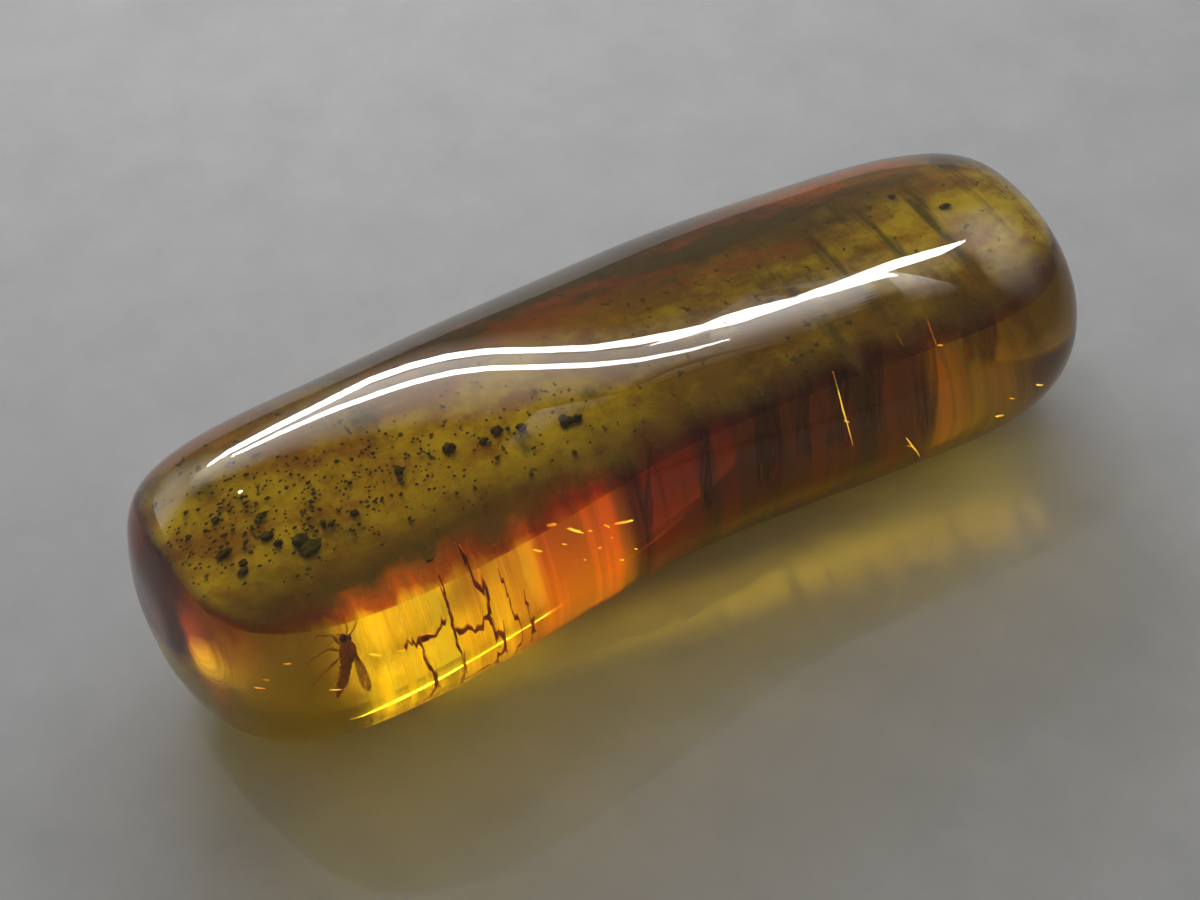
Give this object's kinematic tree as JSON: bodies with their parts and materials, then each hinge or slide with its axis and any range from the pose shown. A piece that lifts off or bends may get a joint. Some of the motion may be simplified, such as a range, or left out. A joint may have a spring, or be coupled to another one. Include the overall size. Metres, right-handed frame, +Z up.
{
  "type": "insect in amber",
  "caption": "Polished, slightly waisted baton of clear amber lying on a flat underside, with a small winged gnat sealed in it near one end.",
  "frame": {"origin": "middle of the flat underside, at the bottom centre of the whole piece's box", "axes": "+X along the length towards the lower, wider end; +Z up from the flat underside; the insect lies near the -X end"},
  "size_m": [0.0522, 0.018, 0.0159],
  "materials": {
    "amber": "clear golden brown amber, polished to a high gloss",
    "insect": "dark brown dried insect, satin",
    "debris": "dull dark brown specks, crust and crack lines inside the amber"
  },
  "bodies": {
    "root": {"amber_lower": "amber", "amber_upper": "amber", "insect": "insect"}
  },
  "joints": []
}
